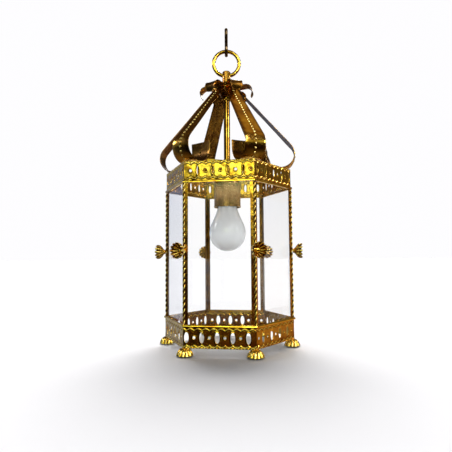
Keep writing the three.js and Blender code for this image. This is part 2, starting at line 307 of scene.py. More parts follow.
def metal(name, deep, base, light, rough, scale=55, grain=420, bump=0.25, tarnish=None, wear_and_highlight=None):
    """Uneven metal; tarnish darkens the low parts of a piece's relief, and the high parts are lightened as
    wear and painted highlight.
    """
    material, nodes, links, shader = new_material(name)
    place = nodes.new("ShaderNodeTexCoord").outputs["Object"]
    cloud = noise(nodes, links, place, scale, 5, 0.6)
    fine = noise(nodes, links, place, grain, 6)
    colour = ramp(nodes, [(0.30, deep), (0.47, base), (0.72, light)])
    links.new(cloud, colour.inputs["Fac"])
    result = colour.outputs["Color"]
    if tarnish:
        relief = nodes.new("ShaderNodeAttribute")
        relief.attribute_name = "relief"
        share = ramp(nodes, [(0.0, 0.85), (0.42, 0.35), (0.6, 0.0)])
        links.new(relief.outputs["Fac"], share.inputs["Fac"])
        mix = nodes.new("ShaderNodeMix")
        mix.data_type = "RGBA"
        links.new(share.outputs["Color"], mix.inputs["Factor"])
        links.new(result, mix.inputs["A"])
        mix.inputs["B"].default_value = (*tarnish, 1)
        result = mix.outputs["Result"]
    # the high relief is lightened: partly wear, partly painted highlight
    if wear_and_highlight:
        height = ramp(nodes, [(0.66, 0.0), (0.86, 0.9)])
        links.new(relief.outputs["Fac"], height.inputs["Fac"])
        wear_and_highlight_mix = nodes.new("ShaderNodeMix")
        wear_and_highlight_mix.data_type = "RGBA"
        links.new(height.outputs["Color"], wear_and_highlight_mix.inputs["Factor"])
        links.new(result, wear_and_highlight_mix.inputs["A"])
        wear_and_highlight_mix.inputs["B"].default_value = (*wear_and_highlight, 1)
        result = wear_and_highlight_mix.outputs["Result"]
    links.new(result, shader.inputs["Base Color"])
    gloss = ramp(nodes, [(0.3, rough[0]), (0.7, rough[1])])
    links.new(fine, gloss.inputs["Fac"])
    if wear_and_highlight:
        matt = nodes.new("ShaderNodeMath")
        matt.operation = "MULTIPLY_ADD"
        links.new(height.outputs["Color"], matt.inputs[0])
        matt.inputs[1].default_value = 0.2
        links.new(gloss.outputs["Color"], matt.inputs[2])
        links.new(matt.outputs["Value"], shader.inputs["Roughness"])
    else:
        links.new(gloss.outputs["Color"], shader.inputs["Roughness"])
    shader.inputs["Metallic"].default_value = 1.0
    dents = nodes.new("ShaderNodeBump")
    dents.inputs["Strength"].default_value = bump
    dents.inputs["Distance"].default_value = 0.0006
    links.new(noise(nodes, links, place, scale * 2.2, 3, 0.3), dents.inputs["Height"])
    links.new(dents.outputs["Normal"], shader.inputs["Normal"])
    return material


BRASS_LIGHT = (1.0, 0.72, 0.15)
BRASS = (0.86, 0.52, 0.065)
BRASS_DEEP = (0.50, 0.22, 0.022)
UMBER = (0.15, 0.06, 0.012)

polished = metal("polished_brass", BRASS_DEEP, BRASS, BRASS_LIGHT, (0.10, 0.24), 55, 420, 0.15)
# each metal's last colour lightens its high relief: partly wear, partly painted highlight
band_brass = metal("band_brass", BRASS_DEEP, BRASS, BRASS_LIGHT, (0.12, 0.26), 70, 480, 0.3, UMBER,
                   (1.0, 0.80, 0.25))
fluted_brass = metal("fluted_brass", BRASS_DEEP, BRASS, BRASS_LIGHT, (0.10, 0.22), 55, 420, 0.15,
                     (0.07, 0.026, 0.006), (1.0, 0.80, 0.25))
post_brass = metal("post_brass", (0.12, 0.045, 0.008), (0.36, 0.17, 0.022), (0.72, 0.44, 0.08),
                   (0.12, 0.26), 90, 500, 0.3, (0.06, 0.022, 0.005), (1.0, 0.80, 0.25))
strap_brass = metal("strap_brass", (0.30, 0.13, 0.02), (0.58, 0.31, 0.045), (0.90, 0.60, 0.12),
                    (0.12, 0.26), 42, 420, 0.35, UMBER, (1.0, 0.82, 0.34))
aged_brass = metal("aged_brass", (0.26, 0.14, 0.055), (0.44, 0.25, 0.10), (0.62, 0.40, 0.17),
                   (0.24, 0.36), 45, 600, 0.05)
bronze = metal("dark_bronze", (0.045, 0.028, 0.016), (0.12, 0.075, 0.04), (0.38, 0.24, 0.12),
               (0.28, 0.5), 190, 900, 0.5)
umber_brass = metal("umber_brass", (0.06, 0.025, 0.006), (0.25, 0.11, 0.018), (0.62, 0.36, 0.06),
                    (0.16, 0.3), 150, 600, 0.4)
rosette_brass = metal("rosette_brass", (0.10, 0.035, 0.006), (0.42, 0.20, 0.03), (0.95, 0.65, 0.13),
                      (0.10, 0.22), 160, 500, 0.2, (0.05, 0.018, 0.004), (1.0, 0.78, 0.22))
# a darker brass for the inside of the rosette cups: painted shade
rosette_painted_shade_lining = metal("rosette_painted_shade_lining", (0.18, 0.07, 0.01), (0.42, 0.19, 0.028), (0.72, 0.42, 0.06),
                       (0.14, 0.26), 90, 500, 0.15, (0.03, 0.012, 0.003),
                       (1.0, 0.72, 0.2))
# a darker brass for inward faces: painted shade
painted_shade_brass = metal("painted_shade_brass", (0.08, 0.03, 0.004), (0.15, 0.066, 0.010), (0.26, 0.13, 0.02),
                   (0.22, 0.38), 60, 500, 0.2)
stem_brass = metal("stem_brass", (0.22, 0.09, 0.015), (0.40, 0.20, 0.036), (0.64, 0.39, 0.09),
                   (0.12, 0.2), 30, 400, 0.03)
nickel = metal("nickel", (0.45, 0.45, 0.43), (0.6, 0.6, 0.58), (0.7, 0.7, 0.68), (0.18, 0.35), 80, 500, 0.1)


def clear_glass():
    """Thin window glass with a faint tint and smears."""
    material, nodes, links, shader = new_material("clear_glass")
    place = nodes.new("ShaderNodeTexCoord").outputs["Object"]
    shader.inputs["Transmission Weight"].default_value = 1.0
    shader.inputs["IOR"].default_value = 1.36
    shader.inputs["Specular IOR Level"].default_value = 0.15
    tint = ramp(nodes, [(0.3, (0.99, 0.996, 0.993)), (0.7, (1.0, 1.0, 1.0))])
    links.new(noise(nodes, links, place, 14), tint.inputs["Fac"])
    links.new(tint.outputs["Color"], shader.inputs["Base Color"])
    smear = ramp(nodes, [(0.4, 0.0), (0.8, 0.03)])
    links.new(noise(nodes, links, place, 30, 5), smear.inputs["Fac"])
    links.new(smear.outputs["Color"], shader.inputs["Roughness"])
    return material


def opal_glass():
    """Milk-white glossy glass."""
    material, nodes, links, shader = new_material("opal_glass")
    place = nodes.new("ShaderNodeTexCoord").outputs["Object"]
    shader.inputs["Specular IOR Level"].default_value = 0.9
    milk = ramp(nodes, [(0.3, (0.83, 0.86, 0.87)), (0.7, (0.91, 0.93, 0.935))])
    links.new(noise(nodes, links, place, 18), milk.inputs["Fac"])
    links.new(milk.outputs["Color"], shader.inputs["Base Color"])
    gloss = ramp(nodes, [(0.3, 0.06), (0.7, 0.11)])
    links.new(noise(nodes, links, place, 60), gloss.inputs["Fac"])
    links.new(gloss.outputs["Color"], shader.inputs["Roughness"])
    return material


def plain(name, dark, light, rough, scale=90):
    """A clouded material that is not a metal."""
    material, nodes, links, shader = new_material(name)
    place = nodes.new("ShaderNodeTexCoord").outputs["Object"]
    colour = ramp(nodes, [(0.3, dark), (0.7, light)])
    links.new(noise(nodes, links, place, scale), colour.inputs["Fac"])
    links.new(colour.outputs["Color"], shader.inputs["Base Color"])
    gloss = ramp(nodes, [(0.3, rough[0]), (0.7, rough[1])])
    links.new(noise(nodes, links, place, scale * 3), gloss.inputs["Fac"])
    links.new(gloss.outputs["Color"], shader.inputs["Roughness"])
    return material


glass = clear_glass()
opal = opal_glass()
ceramic = plain("ceramic", (0.70, 0.66, 0.58), (0.84, 0.81, 0.74), (0.35, 0.55))
black_glass = plain("black_glass", (0.006, 0.006, 0.008), (0.02, 0.02, 0.024), (0.15, 0.3))


# ------------------------------------------------------------------ bands
def span(start, end, step):
    """Even points from start to end, about a step apart."""
    return np.linspace(start, end, max(2, int(round((end - start) / step)) + 1))


def pierced_panel(length, height, first, opening, middle, reach):
    """The outline grid of one side of a band: (x, y) points and quads around smooth holes.
    x runs from 0 at the left corner to length; holes sit at height middle, in cells reach high."""
    fine = 0.72
    points, faces = [], []

    def patch(rows):
        """Adds a rectangular grid of points and its quads."""
        start = len(points)
        columns = len(rows[0])
        for row in rows:
            points.extend(row)
        faces.extend(grid_faces(len(rows), columns, start))

    holes = []
    for step in range(-4, 14):
        x = first + step * PITCH / 2
        rx, ry = opening if step % 2 == 0 else DOT
        if x - rx > 0.9 and x + rx < length - 0.9:
            holes.append((x, rx, ry))
    low, high = middle - reach, middle + reach
    ys = span(low, high, fine)
    cuts = [max(0.0, holes[0][0] - PITCH / 4)]
    cuts += [(a[0] + b[0]) / 2 for a, b in zip(holes, holes[1:])]
    cuts += [min(length, holes[-1][0] + PITCH / 4)]
    strips = []
    for (x, rx, ry), left, right in zip(holes, cuts, cuts[1:]):
        xs = span(left, right, fine)
        strips.append(xs)
        border = [(a, low) for a in xs[:-1]] + [(right, b) for b in ys[:-1]]
        border += [(a, high) for a in xs[:0:-1]] + [(left, b) for b in ys[:0:-1]]
        border = np.array(border)
        away = border - (x, middle)
        # spread the hole's points by angle on an ellipse that grows towards the cell's border
        turn = np.arctan2(away[:, 1] / ry, away[:, 0] / rx)
        rim = np.stack([x + rx * np.cos(turn), middle + ry * np.sin(turn)], 1)
        rows = [rim + (border - rim) * t for t in (0, 0.1, 0.22, 0.36, 0.52, 0.68, 0.84, 1)]
        start = len(points)
        for row in rows:
            points.extend(map(tuple, row))
        faces.extend(grid_faces(len(rows), len(border), start, wrap=True))
    for edge_start, edge_end in ((0.0, cuts[0]), (cuts[-1], length)):
        if edge_end - edge_start > 0.05:
            xs = span(edge_start, edge_end, fine)
            strips.append(xs)
            patch([[(a, b) for a in xs] for b in ys])
    for xs in strips:
        patch([[(a, b) for a in xs] for b in span(0, low, 0.6)])
        patch([[(a, b) for a in xs] for b in span(high, height, 0.6)])
    return np.array(points, float), faces, holes


def band_relief(x, y, holes, first, lines, middle, rim_at):
    """Height of the worked surface above the flat sheet, in millimetres."""
    swing = np.abs(np.sin(math.pi * (x - first) / (PITCH / 2)))
    relief = np.zeros_like(x)
    for level, direction in lines:
        along = level + direction * 2.9 * swing
        relief += 0.66 * np.exp(-((y - along) / 0.60) ** 2)
        relief -= 0.16 * np.exp(-((y - along + direction * 1.5) / 0.8) ** 2)
    for centre, rx, ry in holes:
        away = np.hypot((x - centre) / rx, (y - middle) / ry)
        relief += 0.30 * np.exp(-(((away - 1) * min(rx, ry)) / 0.9) ** 2)
    relief += (0.42 + 0.22 * np.cos(2 * math.pi * x / 4.5)) * np.exp(-((y - rim_at) / 0.8) ** 2)
    return relief


def band_panel(face, radius, base, height, first, opening, middle, reach, lines, rim_at, name, node):
    """One side of a band, with its holes and worked relief."""
    flat, faces, holes = pierced_panel(radius, height, first, opening, middle, reach)
    x, y = flat[:, 0], flat[:, 1]
    relief = band_relief(x, y, holes, first, lines, middle, rim_at)
    fade = np.clip(np.minimum(x, radius - x) / 1.5, 0, 1)
    relief *= 0.35 + 0.65 * fade
    sway = 0.13 * ripple(x + 37 * face, y, 11.0 * face, 19) * fade
    out = apothem(radius) - 0.35 + relief + sway
    across = (x - radius / 2) * out / apothem(radius)
    points = np.stack([out, across, base + y], 1)
    piece = make(name, spun(points, face_angle(face)), faces, band_brass, "band_brass",
                 replaces=[node], sharp=60)
    # welding has changed the points, so the relief is worked out again on those that are left
    co = np.array([v.co for v in piece.data.vertices]) * 1000
    local = spun(co, -face_angle(face))
    x2 = local[:, 1] * apothem(radius) / local[:, 0] + radius / 2
    relief2 = band_relief(x2, local[:, 2] - base, holes, first, lines, middle, rim_at)
    # the high ridges get the wear and painted highlight, the low sheet the tarnish
    worked(piece, np.clip(relief2 / 1.1 + 0.35, 0, 1))
    face_away(piece, (0, 0, base + height / 2))
    thicken(piece, SHEET)


def hexagon_bar(radius, base, section, name):
    """A bar with mitred corners around the six sides; section is (outwards, upwards) points."""
    bars = []
    for face in range(SIDES):
        rings = []
        for share in np.linspace(-0.5, 0.5, 44):
            ring = []
            for out, up in section:
                reach = apothem(radius) + out
                sway = 0.05 * math.sin(share * 31 + face * 1.7) * (1 - (2 * share) ** 8)
                ring.append((reach + sway, share * 2 * reach * math.tan(math.pi / SIDES), base + up))
            rings.append(spun(ring, face_angle(face)))
        bars.append(loft(rings, caps=False))
    return make(name, *joined(*bars), polished, "band_brass", sharp=50)


# heights above a band's bottom edge: its row of holes, then the scalloped lines and which way they swell
LOWER_MIDDLE, LOWER_REACH = 15.4, 9.4
UPPER_MIDDLE, UPPER_REACH = 18.2, 8.2
LOWER_LINES = [(25.4, 1), (4.9, -1)]
UPPER_LINES = [(27.6, 1), (8.6, -1)]
RIM = 0.8                     # from a band's free edge to the middle of its beaded rim
for face in range(SIDES):
    band_panel(face, LOWER_RADIUS, BASE, LOWER_HEIGHT, LOWER_FIRST[face], OVAL, LOWER_MIDDLE, LOWER_REACH,
               LOWER_LINES, RIM, f"lower_side_{face + 1}", f"lower_band_{face + 1}")
    band_panel(face, UPPER_RADIUS, UPPER_BASE, UPPER_HEIGHT, UPPER_FIRST[face], SLOT, UPPER_MIDDLE,
               UPPER_REACH, UPPER_LINES, UPPER_HEIGHT - RIM,
               f"upper_side_{face + 1}", f"upper_band_{face + 1}")
# sections of the rails, outwards and upwards
LOWER_RAIL = [(-0.6, 0.0), (1.6, 0.0), (1.95, 0.25), (1.95, 0.6), (1.5, 2.5), (1.1, 3.0), (-0.6, 3.1)]
hexagon_bar(LOWER_RADIUS, BASE + LOWER_HEIGHT - 2.6, LOWER_RAIL, "lower_rail")
UPPER_RAIL = [(-0.6, 0.0), (1.3, 0.0), (1.62, 0.3), (1.66, 0.6), (1.52, 2.9), (1.3, 3.3), (-0.6, 3.4)]
hexagon_bar(UPPER_RADIUS, UPPER_BASE, UPPER_RAIL, "upper_rail")


# ------------------------------------------------------------------ posts
def post_strip(low, high):
    """The angle strip behind a post's rope, in the frame of its corner."""
    half = math.pi / SIDES
    along = np.array([-math.sin(half), math.cos(half)])
    inward = np.array([-along[1], along[0]])
    ridge = np.array([CAGE_RADIUS, 0.0])
    tip = ridge + along * POST_REACH
    inside = tip + inward * POST_WALL
    crease = CAGE_RADIUS - POST_WALL / math.cos(half)
    section = [(crease, 0), (inside[0], -inside[1]), (tip[0], -tip[1]), tuple(ridge),
               tuple(tip), tuple(inside)]
    rings = [[(x, y, z) for x, y in section] for z in np.linspace(low, high, 24)]
    return loft(rings)


def post_rope(low, high):
    """The twisted ridge: a bar of oval section that turns as it climbs."""
    rings, reliefs = [], []
    for z in np.arange(low, high, 0.7):
        turn = math.pi * (z - low) / ROPE_PITCH
        ring = []
        for a in np.arange(20) * 2 * math.pi / 20:
            size = ROPE_RADIUS + 0.40 * math.cos(2 * (a - turn)) + 0.10 * math.cos(4 * (a - turn))
            ring.append((CAGE_RADIUS + size * math.cos(a), size * math.sin(a), z))
            # the rope's lobes get the wear and painted highlight, the grooves between them tarnish
            reliefs.append(min(1.0, size - 0.95))
        rings.append(ring)
    return (*loft(rings), reliefs)


PLAIN_RELIEF = 0.6            # neither tarnished nor lightened by wear and painted highlight


def post(corner):
    """One corner post: its twisted ridge, and an angle strip with painted shade, a darker brass, on its
    inward faces.
    """
    low, high = heights("corner_post_1")
    strip, rope = post_strip(low, high), post_rope(low, high)
    points, faces = joined(strip, rope[:2])
    piece = make(f"post_{corner + 1}", spun(points, corner_angle(corner)), faces, post_brass,
                 "post_brass", replaces=[f"corner_post_{corner + 1}"])
    worked(piece, [PLAIN_RELIEF] * len(strip[0]) + rope[2])
    # the inward faces get the darker brass: painted shade
    piece.data.materials.append(painted_shade_brass)
    outwards = Vector(spun([(1, 0, 0)], corner_angle(corner))[0])
    for polygon in piece.data.polygons:
        if polygon.normal.dot(outwards) < -0.3:
            polygon.material_index = 1


for corner in range(SIDES):
    post(corner)
for pane in range(SIDES):
    surface(f"glass_pane_{pane + 1}", glass, 0.25)


# ------------------------------------------------------------------ rosettes and feet
def fluted(profile, flute, point, around=120, rings=40):
    """A flaring cup about Z: profile of (radius, height), fluted towards a pointed rim."""
    profile = np.array(rounded(profile, 8, 0.45))
    run = np.concatenate([[0], np.cumsum(np.linalg.norm(np.diff(profile, axis=0), axis=1))])
    shares = np.linspace(0, 1, rings)
    radius = np.interp(shares * run[-1], run, profile[:, 0])
    height = np.interp(shares * run[-1], run, profile[:, 1])
    slope = np.stack([np.gradient(radius), np.gradient(height)], 1)
    slope /= np.linalg.norm(slope, axis=1)[:, None]
    loops, reliefs = [], []
    for t, r, z, (dr, dz) in zip(shares, radius, height, slope):
        loop = []
        for a in np.arange(around) * 2 * math.pi / around:
            wave = abs(math.cos(PETALS * a / 2)) ** 0.7
            # dark in the creases between petals; wear and painted highlight along their middles
            reliefs.append(0.5 + (0.95 * wave ** 2 - 0.5) * t ** 0.5)
            depth = flute * t ** 1.5 * (wave - 0.6)
            extend = point * t ** 5 * (wave ** 1.3 - 0.6)
            reach = r + extend * dr - depth * dz
            loop.append((reach * math.cos(a), reach * math.sin(a), z + extend * dz + depth * dr))
        loops.append(loop)
    return (*loft(loops, caps=False), reliefs)


def pointing_out(points, corner, at, height):
    """Moves a body drawn about +Z so that it points outwards from a corner."""
    points = np.asarray(points, float)
    turned_over = np.stack([points[:, 2] + at, points[:, 1], -points[:, 0] + height], 1)
    return spun(turned_over, corner_angle(corner))


# profiles of (radius, height) about each small part's own axis
CUP = [(0.6, 0.4), (3.1, 0.5), (3.3, 2.4), (5.4, 4.6), (9.4, 7.6), (11.0, 10.8), (10.7, 14.0)]
CUP_STUD = [(0.02, 9.6), (2.6, 9.2), (3.8, 7.6), (3.0, 4.6), (1.2, 0.6)]
CUP_KNOT = [(0.02, -0.2), (2.9, -0.2), (4.0, 1.1), (2.9, 2.5), (0.02, 2.6)]
BELL = [(0.8, 0.0), (4.4, 0.0), (7.0, -1.2), (9.6, -4.0), (11.1, -7.2), (11.8, -9.9)]
BELL_SCREW = [(0.02, -5.2), (2.4, -5.0), (3.0, -3.6), (3.0, -0.8), (0.02, -0.7)]

rosette_low, rosette_high = mm("rosette_3")
rosette_height = (rosette_low[2] + rosette_high[2]) / 2
rosette_start = rosette_low[0] + 0.2
foot_low, foot_high = mm("foot_3")
foot_radius = (foot_low[0] + foot_high[0]) / 2


def rosette(corner):
    """A fluted cup on a post, with a stud inside it and a knot behind it."""
    place = (corner, rosette_start, rosette_height)
    points, faces, reliefs = fluted(CUP, flute=-2.4, point=3.0)
    cup = make(f"rosette_cup_{corner + 1}", pointing_out(points, *place), faces, rosette_brass,
               "polished_brass", replaces=[f"rosette_{corner + 1}"], sharp=60)
    worked(cup, reliefs)
    face_away(cup, pointing_out([(0, 0, 12)], *place)[0])
    # the cup's inside gets the darker lining: painted shade
    thicken(cup, CUP_WALL, 0.0, rosette_painted_shade_lining)
    points, faces = turned(rounded(CUP_STUD), 24)
    make(f"rosette_stud_{corner + 1}", pointing_out(points, *place), faces, polished, "polished_brass")
    points, faces = turned(rounded(CUP_KNOT, 6, 0.45), 24)
    make(f"rosette_knot_{corner + 1}", pointing_out(points, *place), faces, polished, "polished_brass")


def foot(corner):
    """A fluted bell under a corner, with its screw."""
    points, faces, reliefs = fluted(BELL, flute=1.9, point=0.6)
    points = np.asarray(points) + (foot_radius, 0, foot_high[2] - 0.1)
    bell = make(f"foot_bell_{corner + 1}", spun(points, corner_angle(corner)), faces,
                fluted_brass, "polished_brass", replaces=[f"foot_{corner + 1}"], sharp=60)
    worked(bell, 0.3 + 0.62 * np.array(reliefs))
    face_away(bell, spun([(foot_radius, 0, foot_high[2] - 9)], corner_angle(corner))[0])
    # the bell's inside is lined with the darker umber brass: painted shade under the foot
    thicken(bell, BELL_WALL, 0.0, umber_brass)
    points, faces = turned(rounded(BELL_SCREW), 24)
    points = np.asarray(points) + (foot_radius, 0, foot_high[2])
    make(f"foot_screw_{corner + 1}", spun(points, corner_angle(corner)), faces, polished, "polished_brass")


for corner in range(SIDES):
    rosette(corner)
    foot(corner)


# ------------------------------------------------------------------ crown straps
def walk(start, heading, moves):
    """Points, headings and run lengths along straights ("ahead", mm) and arcs (radius, degrees)."""
    at = np.array(start, float)
    heading = math.radians(heading)
    track = [(at[0], at[1], heading, 0.0)]
    run = 0.0
    for kind, amount in moves:
        if kind == "ahead":
            steps = max(1, int(amount / 2))
            for _ in range(steps):
                at = at + amount / steps * np.array([math.cos(heading), math.sin(heading)])
                run += amount / steps
                track.append((at[0], at[1], heading, run))
            continue
        steps = max(4, int(abs(amount) / 3))
        turn = math.radians(amount) / steps
        chord = 2 * kind * math.sin(abs(turn) / 2)
        for _ in range(steps):
            at = at + chord * np.array([math.cos(heading + turn / 2), math.sin(heading + turn / 2)])
            heading += turn
            run += kind * abs(turn)
            track.append((at[0], at[1], heading, run))
    return np.array(track)


END_TOP = BASE + 311.0        # top of the curl's free end
CURL_HEIGHT = BASE + 298.2    # centre of the curl
strap_track = walk((STRAP_START, END_TOP), -90, [
    ("ahead", END_TOP - CURL_HEIGHT), (STRAP_CURL, 270 - STRAP_SLOPE), ("ahead", STRAP_RUN),
    (SCROLL_BEND, -125), ("ahead", 9.5), (SCROLL_CURL, -115), ("ahead", 5.0)])
STRAP_LENGTH = strap_track[-1, 3]
# how far along a strap the row of beads reaches
BEADED = 13.0 + math.radians(270 - STRAP_SLOPE) * STRAP_CURL + STRAP_RUN - 6


def strap_width(run):
    """Half the width: a long taper, a rounded end and a leaf at the scroll."""
    share = run / STRAP_LENGTH
    half = (STRAP_END_WIDTH + (STRAP_TOP_WIDTH - STRAP_END_WIDTH) * share) / 2
    scroll = np.clip((run - BEADED - 10) / (STRAP_LENGTH - BEADED - 10), 0, 1)
    lobes = 1 + 0.17 * scroll * (np.abs(np.sin(4.5 * math.pi * scroll)) - 0.3)
    return half * lobes * np.sqrt(1 - 0.8 * scroll ** 9)


def strap(corner):
    """One crown strap: curl, beaded run and scroll."""
    rows = np.arange(0, STRAP_LENGTH, 0.45)
    rows = np.append(rows, STRAP_LENGTH)
    # points across: shares of the half width outside, and millimetres around the beads
    wide = [-1.0, -0.985, -0.93, -0.8, -0.65, -0.5, -0.36, -0.24]
    narrow = list(np.linspace(-1.9, 1.9, 11))
    radius = np.interp(rows, strap_track[:, 3], strap_track[:, 0])
    height = np.interp(rows, strap_track[:, 3], strap_track[:, 1])
    heading = np.interp(rows, strap_track[:, 3], strap_track[:, 2])
    points, reliefs = [], []
    for run, r, z, h in zip(rows, radius, height, heading):
        half = float(strap_width(run))
        across = [w * half for w in wide] + [n * min(1, half / 9) for n in narrow]
        across += [-w * half for w in wide[::-1]]
        outward = np.array([math.sin(h), -math.cos(h)])
        for a in across:
            share = a / half
            crown = 0.5 * (1 - share ** 2) - 0.4 * abs(share) ** 14
            bead = 0.0
            if 3 < run < BEADED:
                phase = (run % BEAD_PITCH) / BEAD_PITCH - 0.5
                away = math.hypot(phase * BEAD_PITCH, a)
                bead = BEAD_HEIGHT * math.sqrt(max(0.0, 1 - (away / BEAD_RADIUS) ** 2))
            sway = 0.16 * float(ripple(run, a * 1.4, 9.0 * corner, 38))
            out = crown + bead + sway - 0.45
            points.append((r + outward[0] * out, a, z + outward[1] * out))
            # the beads get the wear and painted highlight, the strap's edges a little tarnish
            reliefs.append(min(1.0, 0.56 + 0.5 * bead - 0.3 * abs(share) ** 8))
    columns = 2 * len(wide) + len(narrow)
    faces = grid_faces(len(rows), columns)
    piece = make(f"strap_{corner + 1}", spun(points, corner_angle(corner)), faces, strap_brass,
                 "strap_brass", replaces=[f"crown_strap_{corner + 1}"], sharp=60)
    worked(piece, reliefs)
    face_away(piece, (0, 0, CURL_HEIGHT + 30))
    # the strap's inner side is lined with the darker brass: painted shade
    thicken(piece, SHEET, 0.0, painted_shade_brass)


for corner in range(SIDES):
    strap(corner)


# ------------------------------------------------------------------ stem, hub and ferrule
def shift(body, z):
    """A body moved up by z millimetres."""
    points, faces = body
    return np.asarray(points, float) + (0, 0, z), faces


stem_low, stem_high = heights("stem_tube")
neck_base = stem_high - 6.3           # where the stem narrows to enter the ferrule
make("stem", *turned([(3.5, stem_low), (4.9, stem_low), (5.3, stem_low + 0.5), (5.3, neck_base),
                      (4.0, neck_base), (4.0, stem_high), (2.5, stem_high), (2.5, neck_base),
                      (3.5, neck_base)], 40, True),
     stem_brass, "polished_brass", replaces=["stem_tube"], sharp=30)

hub_profile = [(5.7, 0), (9, 0), (10.4, 4.6), (15.6, 10.6), (19.6, 12.6), (20.2, 15.4),
               (19.4, 18.2), (12, 25.2), (5.7, 25.2)]


def petalled(profile, lobes, amount, around=96):
    """A turned body whose outline swells into lobes where it is widest."""
    widest = max(r for r, _ in profile)
    angles = np.arange(around) * 2 * math.pi / around
    loops = []
    for r, z in profile:
        loop = []
        for a in angles:
            reach = r + amount * (r / widest) ** 4 * (abs(math.cos(lobes * a / 2)) - 0.6)
            loop.append((reach * math.cos(a), reach * math.sin(a), z))
        loops.append(loop)
    loops.append(loops[0])
    return loft(loops, caps=False)


make("hub", *shift(petalled(rounded(hub_profile, 5, 0.3), 12, 1.4), heights("crown_hub")[0]),
     umber_brass, "strap_brass", replaces=["crown_hub"], sharp=50)
collar_profile = rounded([(5.6, 0), (7.6, 0), (8.3, 2), (7.6, 4.2), (5.6, 4.2)], 6, 0.4)
make("collar", *shift(turned(collar_profile, 48, True), heights("stem_collar")[0]), polished,
     "polished_brass", replaces=["stem_collar"])
surface("stem_nut", aged_brass, 0.5, 3)
surface("ring_ferrule", stem_brass, 0.35, 2, 50)


# ------------------------------------------------------------------ ring and hook
ring_low, ring_high = heights("hanging_ring")
hook_low, hook_high = heights("hanging_hook")
ring_radius = (ring_high - ring_low) / 2 - RING_CAD_WIRE
ring_centre = (ring_high + ring_low) / 2
loops = []
for a in np.arange(120) * 2 * math.pi / 120:
    wire = RING_WIRE + 0.08 * math.sin(5 * a) + 0.06 * math.sin(11 * a + 1)
    loops.append([((ring_radius + wire * math.cos(b)) * math.cos(a), wire * math.sin(b),
                   ring_centre + (ring_radius + wire * math.cos(b)) * math.sin(a))
                  for b in np.arange(24) * 2 * math.pi / 24])
ring_points, ring_faces = loft(loops, loop=True)
make("ring", spun(ring_points, RING_YAW), ring_faces, polished, "polished_brass", "ring", ["hanging_ring"])

lower_centre = hook_low + HOOK_WIRE + HOOK_BEND
upper_centre = hook_high - HOOK_WIRE - HOOK_BEND
rise = upper_centre - lower_centre
lean = math.degrees(math.asin(2 * HOOK_BEND / rise))
hook_track = walk((-HOOK_BEND, lower_centre + 3), -90, [
    ("ahead", 3.0), (HOOK_BEND, 180 + lean), ("ahead", math.sqrt(rise ** 2 - (2 * HOOK_BEND) ** 2)),
    (HOOK_BEND, -180 - lean), ("ahead", 3.0)])
runs = np.linspace(0, hook_track[-1, 3], 120)
path = np.stack([np.zeros(120), np.interp(runs, hook_track[:, 3], hook_track[:, 0]),
                 np.interp(runs, hook_track[:, 3], hook_track[:, 1])], 1)
from_end = np.minimum(runs, runs[-1] - runs)
sizes = HOOK_WIRE * np.minimum(1, np.sqrt(np.clip(from_end / 1.6 + 0.12, 0, 1)))
sizes = sizes - 0.05 - 0.05 * np.sin(runs * 0.9)
hook_points, hook_faces = tube(path, sizes, 20)
make("hook", spun(hook_points, RING_YAW), hook_faces, bronze, "dark_bronze", "hook", ["hanging_hook"])


# ------------------------------------------------------------------ lamp holder and lamp
# profiles of (radius, height) above each part's own bottom edge
skirt_low, skirt_high = heights("holder_skirt")
skirt_height = skirt_high - skirt_low
skirt_profile = [(21.0, 0), (22.5, 0), (22.5, 1.6), (22.0, 2.4), (22.0, 33.5), (22.25, 34.0),
                 (22.25, skirt_height), (21.0, skirt_height)]
make("holder_sleeve", *shift(turned(skirt_profile, 96, True), skirt_low), aged_brass, "aged_brass",
     replaces=["holder_skirt"], sharp=30)
dome_profile = rounded([(21.0, 0), (22.7, 0), (22.7, 6.3), (21.4, 7.0), (20.6, 11), (19, 14.3), (13, 20.3),
                        (8, 23.3), (5.6, 23.3), (5.6, 22.0), (8, 22.0), (12.4, 19.0), (18, 13.2),
                        (20.6, 6.3), (21.0, 0)], 4, 0.3)
make("holder_cap", *shift(turned(dome_profile, 96), heights("holder_dome")[0]), aged_brass,
     "aged_brass", replaces=["holder_dome"], sharp=30)

lamp_centre = heights("lamp_glass")[0] + LAMP_RADIUS
bowl = [(LAMP_RADIUS * math.sin(a), lamp_centre - LAMP_RADIUS * math.cos(a))
        for a in np.linspace(0.001, math.pi / 2, 40)]
neck_profile = [(LAMP_RADIUS, 0), (29.85, 4.5), (28.8, 9.2), (27.0, 14.4), (24.4, 20.2), (21.4, 26.6),
                (18.8, 33.2), (16.8, 39.6), (15.4, 44.4), (14.0, 48.2), (12.6, 51.0), (12.2, 52.4),
                (12.2, 58.5)]
neck = [(r, lamp_centre + z) for r, z in rounded(neck_profile, 4, 0.4)][1:]
inner = [(max(r - LAMP_WALL, 0.001), z + (LAMP_WALL if r < 20 and z < lamp_centre else 0))
         for r, z in (bowl + neck)[::-1]]
make("lamp_bulb", *turned(bowl + neck + inner, 96), opal, "opal_glass", "lamp", ["lamp_glass"], 60)

cap_low, cap_high = heights("lamp_cap")
threads = []
for z in np.linspace(0, cap_high - cap_low - 4.6, 60):
    threads.append((12.75 + 0.35 * math.cos(2 * math.pi * z / THREAD_PITCH), cap_low + z))
shoulder = rounded([(12.9, cap_high - 4.2), (12.6, cap_high - 2), (9.4, cap_high), (6, cap_high)], 4)
hollow = [(6, cap_high - 0.7), (9, cap_high - 0.7), (12.2, cap_high - 2.4), (12.2, cap_low)]
make("lamp_base", *turned(threads + shoulder + hollow, 72, True), nickel, "nickel", "lamp",
     ["lamp_cap"], 60)

for node_name, material in (("holder_insert", ceramic), ("screw_shell", nickel),
                            ("centre_contact", aged_brass), ("lamp_insulator", black_glass),
                            ("lamp_contact", aged_brass)):
    surface(node_name, material, 0.15, 2, 40)


